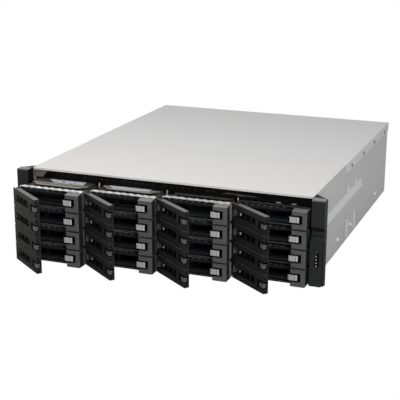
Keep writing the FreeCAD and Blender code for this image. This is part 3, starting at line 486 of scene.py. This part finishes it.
def mesh_of(name, mat, points, faces):
    mesh = bpy.data.meshes.new(name)
    mesh.from_pydata([Vector(p) * MM for p in points], [], faces)
    mesh.materials.append(mat)
    return mesh


def blocks(name, mat, corners):
    """One mesh of blocks, each between its lowest and its highest corner."""
    points, faces = [], []
    for low, high in corners:
        first = len(points)
        points += product(*zip(low, high))
        faces += [[first + v for v in face] for face in BLOCK_FACES]
    return mesh_of(name, mat, points, faces)


def prisms(name, mat, shapes, upright=False):
    """One mesh of prisms: each has an outline in X and Z and two ends in Y, or upright, in X and Y with ends in Z."""
    points, faces = [], []
    for outline, start, end in shapes:
        near = [len(points) + v for v in range(len(outline))]
        far = [v + len(outline) for v in near]
        points += [(a, b, c) if upright else (a, c, b) for c in (start, end) for a, b in outline]
        sides = [[near[v - 1], near[v], far[v], far[v - 1]] for v in range(len(outline))]
        hull = [near[::-1], far] + sides
        faces += hull if upright else [face[::-1] for face in hull]
    return mesh_of(name, mat, points, faces)


def put(name, mesh, body, local=Matrix()):
    """Places a mesh in its body's own frame, and lets it ride on that body."""
    obj = bpy.data.objects.new(name, mesh)
    bpy.context.collection.objects.link(obj)
    obj.matrix_world = Matrix.Translation(local.translation * MM) @ local.to_3x3().to_4x4()
    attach(obj, body)


# On a tray: the sprung contact strips on its top and sides
STRIP_LEFT, STRIP_RIGHT, STRIP_FOOT = 1.0, 104.0, 26.9
CRESTS = 9
CREST_STEPS = 8
SIDE_STEP = 2.6


def wave(rise, thick):
    """The outline of a wavy strip: its crests over X, and the same line again below them."""
    count = CRESTS * CREST_STEPS
    line = [(STRIP_LEFT + (STRIP_RIGHT - STRIP_LEFT) * i / count,
             STRIP_FOOT + rise * (0.5 - 0.5 * math.cos(2 * math.pi * i / CREST_STEPS))) for i in range(count + 1)]
    return line + [(x, z - thick) for x, z in reversed(line)]


WAVES = [(wave(1.1, 0.35), 12.6, 15.0), (wave(0.9, 0.3), 17.6, 21.4)]
CONTACT = {False: prisms("contact_strip", CHROME, WAVES), True: prisms("contact_strip_shaded", STRIP_SHADE, WAVES)}
# The groove between the two strips: shadow black, a painted shade.
CONTACT_GROOVE = blocks("contact_groove", BLACK, [
    ((STRIP_LEFT, 15.8, STRIP_FOOT), (STRIP_RIGHT, 17.4, 27.02))])
SIDE_BLOCKS = [((side - 0.02, 13.2, 2.4 + SIDE_STEP * i), (side + 0.3, 20.6, 4.2 + SIDE_STEP * i))
               for side in (-0.28, TRAY_WIDTH) for i in range(CRESTS)]
# Column 3's side contacts in bright silver, a painted highlight; the others dull.
SIDE_CONTACT = {False: blocks("side_contact", DULL, SIDE_BLOCKS),
                True: blocks("side_contact_highlight", CHROME, SIDE_BLOCKS)}

# On a tray: bands, a ledge strip, lighter as a painted highlight along the lower lip, ticks and a lattice behind the
# open lever
FACE_Y = 11.0
BARS, BAR_STEP = 7, 9.2
FACE_BANDS = blocks("face_bands", BAND, [
    ((13.2, 10.8, 4.6), (81.3, 12.9, 9.4)), ((8.0, 10.75, 20.6), (81.6, FACE_Y, 22.2))])
# A warm strip along the lower lip, lighter than the tray front: a painted highlight.
FACE_LEDGE = blocks("face_ledge", LEDGE, [((8.0, 10.3, 1.4), (83.0, FACE_Y, 2.5))])
FACE_TICKS = blocks("face_ticks", TICK, [
    ((81.9, 9.9, 20.2), (83.0, FACE_Y, 24.6)), ((81.9, 9.9, 5.2), (82.7, FACE_Y, 8.2)),
    ((95.7, 0.6, 7.0), (96.8, 1.8, 8.1))])
FACE_LATTICE = prisms("face_lattice", LATTICE, [
    ([(x + BAR_STEP * i, z) for x, z in ((10, 24.9), (15.4, 24.9), (17.0, 26.3), (12.4, 26.3))], 10.8, FACE_Y)
    for i in range(BARS)])

# On a lever: holes in its free end, drawn black as painted shade, ribs and a facet in its recess, the facet lighter as
# a painted highlight, the catch's bright strip and its dark strips, which are painted shade, and a bright spot on its
# lens, a painted reflection
RIBS, RIB_STEP = 3, 14.5
TIP_FROM, TIP_TO = 73.9, 74.06
CATCH_FOOT, CATCH_HEAD = 8.1, 14.5
# The holes, drawn as black patches: painted shade.
LEVER_TIP = blocks("lever_tip_holes", BLACK, [
    ((TIP_FROM, *low), (TIP_TO, *high)) for low, high in (
        ((-4.2, 1.6), (-1.4, 5.0)), ((-4.2, 20.0), (-1.4, 23.6)),
        ((-0.6, 8.8), (1.2, 12.0)), ((-0.6, 13.6), (1.2, 16.8)))])
LEVER_RIBS = blocks("lever_ribs", LEVER_RIB, [
    ((7.0 + RIB_STEP * i, -2.3, 9.2), (7.9 + RIB_STEP * i, -1.85, 15.4)) for i in range(RIBS)])
# The recess's left wall, lighter: a painted highlight.
LEVER_FACET_HIGHLIGHT = blocks("lever_facet_highlight", FACET_HIGHLIGHT, [((-2.35, -3.0, 8.6), (0.2, -1.85, 18.8))])
CATCH_STRIP = blocks("catch_strip", CATCH_EDGE, [((69.6, -4.95, CATCH_FOOT), (71.9, -4.6, CATCH_HEAD))])
# The catch's dark strips: painted shade in its grooves.
CATCH_SHADE = blocks("catch_shade", LEVER_SHADE, [
    ((60.6, -4.9, CATCH_FOOT), (63.2, -4.65, CATCH_HEAD)), ((68.6, -4.8, CATCH_FOOT), (69.5, -4.65, CATCH_HEAD))])
# A bright spot on the light pipe's lens: a painted reflection.
LENS_REFLECTION_SPOT = prisms("lever_lens_reflection", LENS_REFLECTION, [
    ([(9.6, 12.0), (10.6, 11.4), (11.5, 12.2), (11.7, 14.6), (10.9, 15.9), (9.8, 15.2)], -2.9, -1.8)])

# On a drive's lid: a brown band, a dark line, a plate, holes, screws and rings
LID_TOP = 26.6
DISC_STEPS = 12
RING_STEPS = 24
RING_SQUASH = 0.42


def plates(name, mat, outlines, top, foot=LID_TOP):
    """One mesh of low plates over outlines in X and Y."""
    return prisms(name, mat, [(outline, foot, top) for outline in outlines], upright=True)


def disc(x, y, radius):
    turns = [2 * math.pi * i / DISC_STEPS for i in range(DISC_STEPS)]
    return [(x + radius * math.cos(a), y + radius * math.sin(a)) for a in turns]


def flat_ring(x, y, outer, inner):
    """The outline of an oval ring, cut open at one place: once around outside, and back inside."""
    turns = [2 * math.pi * i / RING_STEPS for i in range(RING_STEPS + 1)]
    return [(x + r * math.cos(way * a), y + r * RING_SQUASH * math.sin(way * a))
            for r, way in ((outer, 1), (inner, -1)) for a in turns]


LID_BAND = plates("lid_band", BROWN, [[(19, 34), (86, 34), (98, 46), (98, 50), (7, 50), (7, 46)]], 26.66)
LID_LINE = plates("lid_line", BLACK, [[(12, 41.6), (93, 41.6), (94.5, 43), (10.5, 43)]], 26.7)
LID_PLATES = {column: plates(name, PLATE, [outline], 26.74) for column, name, outline in (
    (HOLED_COLUMN, "lid_plate_holed", [(39.4, 51.7), (87.5, 51.9), (84.5, 72.4), (23.2, 67.4)]),
    (PLATED_COLUMN, "lid_plate", [(26.4, 38.8), (81.6, 42.6), (82.9, 56.0), (13.0, 53.1)]))}
# The holes in the plate, drawn as black discs: painted shade.
LID_HOLES = plates("lid_holes", BLACK, [
    disc(38.8, 57, 1.7), disc(51.3, 59.2, 2.4), disc(65.5, 53.9, 1.4), disc(69.9, 58.4, 2.0)], 26.8, foot=26.7)
LID_SCREWS = plates("lid_screws", SCREW, [disc(13.3, 37.0, 1.1), disc(20.6, 36.2, 1.3)], 26.4, foot=23.2)
LID_RINGS = plates("lid_rings", RING, [flat_ring(47, 43, 20, 18.6), flat_ring(72, 46, 20, 18.6)], 26.68)


def tray_pieces(column):
    """The pieces that ride on each tray of a column."""
    pieces = {"contact": CONTACT[column == SHADED_COLUMN], "contact_groove": CONTACT_GROOVE,
              "side_contact": SIDE_CONTACT[column == HIGHLIT_SIDE_COLUMN], "face_bands": FACE_BANDS,
              "face_ledge": FACE_LEDGE, "face_ticks": FACE_TICKS, "face_lattice": FACE_LATTICE}
    if column in LID_PLATES:
        pieces.update(lid_band=LID_BAND, lid_line=LID_LINE, lid_plate=LID_PLATES[column])
    if column == HOLED_COLUMN:
        pieces["lid_holes"] = LID_HOLES
    if column == RINGED_COLUMN:
        pieces.update(lid_screws=LID_SCREWS, lid_rings=LID_RINGS)
    return pieces


def lever_pieces(column):
    """The pieces that ride on each lever of a column."""
    pieces = {"tip_holes": LEVER_TIP, "lever_ribs": LEVER_RIBS, "lever_facet_highlight": LEVER_FACET_HIGHLIGHT,
              "catch_strip": CATCH_STRIP, "catch_shade": CATCH_SHADE}
    if column in LENS_COLUMNS:
        pieces["lens"] = LENS_REFLECTION_SPOT
    return pieces


for column, row in BAYS:
    tag = tag_of(column, row)
    for name, mesh in tray_pieces(column).items():
        put(f"{name}_{tag}", mesh, f"tray_{tag}", tray_frame(column, row))
    for name, mesh in lever_pieces(column).items():
        put(f"{name}_{tag}", mesh, f"lever_{tag}", lever_frame(column, row))

# On the chassis: the square pinholes in its sides, drawn black as painted shade, and the two strips that draw the seam
# of
# its top: a light one, a painted highlight on the cover's front edge, and a grey one, a painted shadow in the gap
SKIN = 0.05
PINHOLE_COUNT, PINHOLE, PINHOLE_STEP = 6, 1.8, 7.2
PINHOLE_Y = (199.0, 200.8)
SEAM_REACH, SEAM_FOOT, SEAM_TOP = 220.6, 129.7, 130.01
# The pinholes, drawn as black squares: painted shade.
PINHOLES = blocks("pinholes", BLACK, [
    ((side * WALL - SKIN, PINHOLE_Y[0], foot + PINHOLE_STEP * i),
     (side * WALL + SKIN, PINHOLE_Y[1], foot + PINHOLE_STEP * i + PINHOLE))
    for side in (-1, 1) for foot in (10.0, 82.0) for i in range(PINHOLE_COUNT)])
SEAM = {name: blocks(name, mat, [((-SEAM_REACH, front, SEAM_FOOT), (SEAM_REACH, back, SEAM_TOP))])
        for name, mat, front, back in (("seam_highlight", SEAM_HIGHLIGHT, 190.1, 191.5), ("seam_gap", SEAM_SHADOW, 188.9, 189.9))}

# On the cage: marks and a plate on its black rail, bright edges of its dividers, a painted highlight, and chrome flecks
# for what shines in the right-hand gap, painted glints
MARKS, MARK_STEP = 28, 9.4
MARKS_LEFT = -186
MARK_GROUP, MISSING_MARK = 7, 4
LEFT_LINER = -218.9
RAIL_MARKS = prisms("rail_marks", RAIL_MARK, [
    ([(MARKS_LEFT + x + MARK_STEP * i, z) for x, z in ((0, 119.6), (4.4, 119.6), (7.6, 122.4), (2.4, 122.4))], 4.8, 5.0)
    for i in range(MARKS) if i % MARK_GROUP != MISSING_MARK])
RAIL_PLATE = prisms("rail_plate", LEDGE, [
    ([(84, 117.4), (92, 121.4), (106, 121.0), (143, 119.6), (110, 117.6), (104, 119.4), (90, 119.0)], 4.7, 5.0)])
# The dividers' front edges, in the bright cage edge colour: a painted highlight.
TABS = blocks("divider_tabs", CAGE_EDGE_HIGHLIGHT, [
    ((x - 0.7, 1.9, 60.0), (x + 0.7, 2.95, 116.0)) for x in (-COLUMN_PITCH, 0, COLUMN_PITCH, LEFT_LINER)] + [
    ((x, 2.5, 114.95), (x + 6.5, 2.95, 115.85)) for x in (166.5, 189.5)])
# Chrome flecks in the right-hand gap: painted glints.
GAP_GLINTS = blocks("gap_glints", CHROME, [
    ((216.4, -2.0, ROW_PITCH * i + z), (217.3, -0.6, ROW_PITCH * i + z + 2.4))
    for i in range(ROWS) for z in (6.0, 19.0)])

for name, mesh, slot in (
        ("pinholes", PINHOLES, "shell_paint"), ("seam_highlight", SEAM["seam_highlight"], "cover_paint"),
        ("seam_gap", SEAM["seam_gap"], "top_paint"), ("rail_marks", RAIL_MARKS, "cage_steel"),
        ("rail_plate", RAIL_PLATE, "cage_steel"), ("divider_tabs", TABS, "cage_steel"),
        ("gap_glints", GAP_GLINTS, "cage_steel")):
    put(name, mesh, "chassis")


# Lights, in metres and watts
WHITE = (1, 1, 1)
WARM = (1, 0.95, 0.9)

for name, place, aim, size, watts, colour in (
        ("key_overhead", (-0.15, -0.4, 1.25), (-0.05, 0.05, 0.1), (1.2, 0.8), 15, WHITE),
        ("fill_front_right", (1.9, -1.4, 0.6), (0.1, 0.0, 0.06), (1.2, 1.0), 28, WHITE),
        ("side_left", (-2.2, -0.25, 0.35), (-0.2, -0.06, 0.06), (0.8, 0.8), 18, WARM)):
    data = bpy.data.lights.new(name, "AREA")
    data.shape = "RECTANGLE"
    data.size, data.size_y = size
    data.energy = watts
    data.color = colour
    obj = bpy.data.objects.new(name, data)
    bpy.context.collection.objects.link(obj)
    obj.location = place
    obj.rotation_euler = (Vector(aim) - Vector(place)).to_track_quat("-Z", "Y").to_euler()


# Room and floor: white to the camera, and brighter behind the object than in front of it for what is reflected
ROOM_TINT = (0.98, 0.99, 1, 1)
ROOM_ENDS, ROOM_LEVELS = (-0.3, 0.5), (0.12, 0.85)
ROOM_DIFFUSE = 0.35
FLOOR_TINT = (0.5, 0.5, 0.5, 1)
FLOOR_ENDS, FLOOR_LEVELS = (-0.1, 0.6), (0.05, 0.85)
FLOOR_REACH, FLOOR_DROP = 4, 0.0008


def along_y(tree, coordinates, ends, levels):
    """A brightness that rises between two places along Y."""
    where = add(tree, "TexCoord")
    parts = add(tree, "SeparateXYZ")
    rise = add(tree, "MapRange", From_Min=ends[0], From_Max=ends[1], To_Min=levels[0], To_Max=levels[1])
    tree.links.new(where.outputs[coordinates], parts.inputs["Vector"])
    tree.links.new(parts.outputs["Y"], rise.inputs["Value"])
    return rise.outputs["Result"]


world = bpy.data.worlds.new("studio")
world.use_nodes = True
bpy.context.scene.world = world
tree = world.node_tree
tree.nodes.clear()
link = tree.links.new
rays = add(tree, "LightPath")
share = add(tree, "MapRange", To_Min=ROOM_DIFFUSE, To_Max=1.0)
level = add(tree, "Math", "MULTIPLY")
room = add(tree, "Background", Color=ROOM_TINT)
white = add(tree, "Background", Color=(*WHITE, 1))
mix = add(tree, "MixShader")
output = add(tree, "OutputWorld")
link(rays.outputs["Is Glossy Ray"], share.inputs["Value"])
link(along_y(tree, "Generated", ROOM_ENDS, ROOM_LEVELS), level.inputs[0])
link(share.outputs["Result"], level.inputs[1])
link(level.outputs["Value"], room.inputs["Strength"])
link(rays.outputs["Is Camera Ray"], mix.inputs["Fac"])
link(room.outputs["Background"], mix.inputs[1])
link(white.outputs["Background"], mix.inputs[2])
link(mix.outputs["Shader"], output.inputs["Surface"])

floor_mesh = bpy.data.meshes.new("floor")
floor_mesh.from_pydata([(x * FLOOR_REACH, y * FLOOR_REACH, -FLOOR_DROP)
                        for x, y in ((-1, -1), (1, -1), (1, 1), (-1, 1))], [], [(0, 1, 2, 3)])
floor = bpy.data.objects.new("floor", floor_mesh)
bpy.context.collection.objects.link(floor)
pale = bpy.data.materials.new("floor_white")
pale.use_nodes = True
tree = pale.node_tree
tree.nodes.clear()
link = tree.links.new
rays = add(tree, "LightPath")
level = add(tree, "Math", "MAXIMUM")
seen = add(tree, "Math", "MAXIMUM")
matt = add(tree, "BsdfDiffuse", Color=FLOOR_TINT)
glow = add(tree, "Emission", Color=(*WHITE, 1))
mix = add(tree, "MixShader")
output = add(tree, "OutputMaterial")
link(along_y(tree, "Object", FLOOR_ENDS, FLOOR_LEVELS), level.inputs[0])
link(rays.outputs["Is Camera Ray"], level.inputs[1])
link(level.outputs["Value"], glow.inputs["Strength"])
link(rays.outputs["Is Camera Ray"], seen.inputs[0])
link(rays.outputs["Is Glossy Ray"], seen.inputs[1])
link(seen.outputs["Value"], mix.inputs["Fac"])
link(matt.outputs["BSDF"], mix.inputs[1])
link(glow.outputs["Emission"], mix.inputs[2])
link(mix.outputs["Shader"], output.inputs["Surface"])
floor_mesh.materials.append(pale)


# Camera
AZIMUTH, ELEVATION, ROLL = (math.radians(v) for v in (20.84, 16.36, 0.22))
CAMERA_AT = (566.9, -1351.2, 531.7)
SENSOR = 36
FOCAL_PIXELS, PICTURE_PIXELS = 1041.8, 400
CLIP_END = 20

back = Vector((math.sin(AZIMUTH) * math.cos(ELEVATION), -math.cos(AZIMUTH) * math.cos(ELEVATION), math.sin(ELEVATION)))
level_right = (-back).cross(Vector((0, 0, 1))).normalized()
level_up = level_right.cross(-back)
right = level_right * math.cos(ROLL) + level_up * math.sin(ROLL)
up = level_up * math.cos(ROLL) - level_right * math.sin(ROLL)
camera_data = bpy.data.cameras.new("camera")
camera_data.sensor_width = SENSOR
camera_data.lens = SENSOR * FOCAL_PIXELS / PICTURE_PIXELS
camera_data.clip_end = CLIP_END
camera = bpy.data.objects.new("camera", camera_data)
bpy.context.collection.objects.link(camera)
camera.matrix_world = Matrix.Translation(Vector(CAMERA_AT) * MM) @ Matrix((right, up, back)).transposed().to_4x4()
scene = bpy.context.scene
scene.camera = camera
scene.view_settings.view_transform = "Standard"
scene.view_settings.look = "None"
